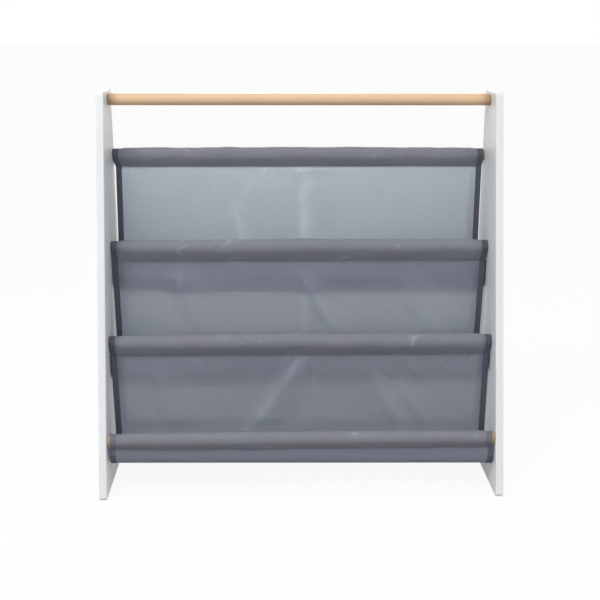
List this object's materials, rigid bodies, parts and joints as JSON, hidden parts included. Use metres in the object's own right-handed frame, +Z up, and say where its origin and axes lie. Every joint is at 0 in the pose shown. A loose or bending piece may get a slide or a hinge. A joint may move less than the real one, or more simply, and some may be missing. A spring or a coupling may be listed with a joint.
{
  "type": "sling bookshelf",
  "caption": "Child's sling bookshelf: two slanted white side boards, a bare wooden rail and dowels, and cloth slings that hold books upright in stepped pockets.",
  "frame": {"origin": "on the floor, in the middle of the width and of the depth", "axes": "+X to the right seen from the front, +Y to the back, +Z up"},
  "size_m": [0.62, 0.23, 0.603],
  "materials": {
    "white_board": "white satin paint on fibreboard",
    "bare_wood": "sanded bare softwood dowel",
    "grey_cloth": "thin plain-woven grey polyester",
    "dark_tape": "grey binding tape, sewn over the cloth's edge",
    "zinc_steel": "zinc-plated",
    "white_plastic": "moulded white cap"
  },
  "bodies": {
    "root": {"side_panel_left": "white_board", "side_panel_right": "white_board", "top_rail": "bare_wood", "sling_dowel_top": "bare_wood", "sling_dowel_upper": "bare_wood", "sling_dowel_lower": "bare_wood", "sling_dowel_front": "bare_wood", "screw_rail_left": "zinc_steel", "screw_rail_right": "zinc_steel", "screw_top_left": "zinc_steel", "screw_top_right": "zinc_steel", "screw_upper_left": "zinc_steel", "screw_upper_right": "zinc_steel", "screw_lower_left": "zinc_steel", "screw_lower_right": "zinc_steel", "screw_front_left": "zinc_steel", "screw_front_right": "zinc_steel", "cover_cap_rail_left": "white_plastic", "cover_cap_rail_right": "white_plastic", "cover_cap_top_left": "white_plastic", "cover_cap_top_right": "white_plastic", "cover_cap_upper_left": "white_plastic", "cover_cap_upper_right": "white_plastic", "cover_cap_lower_left": "white_plastic", "cover_cap_lower_right": "white_plastic", "cover_cap_front_left": "white_plastic", "cover_cap_front_right": "white_plastic", "sling_upper": "grey_cloth", "sling_middle": "grey_cloth", "sling_lower": "grey_cloth", "binding_upper_left": "dark_tape", "binding_upper_right": "dark_tape", "binding_middle_left": "dark_tape", "binding_middle_right": "dark_tape", "binding_lower_left": "dark_tape", "binding_lower_right": "dark_tape"}
  },
  "joints": []
}
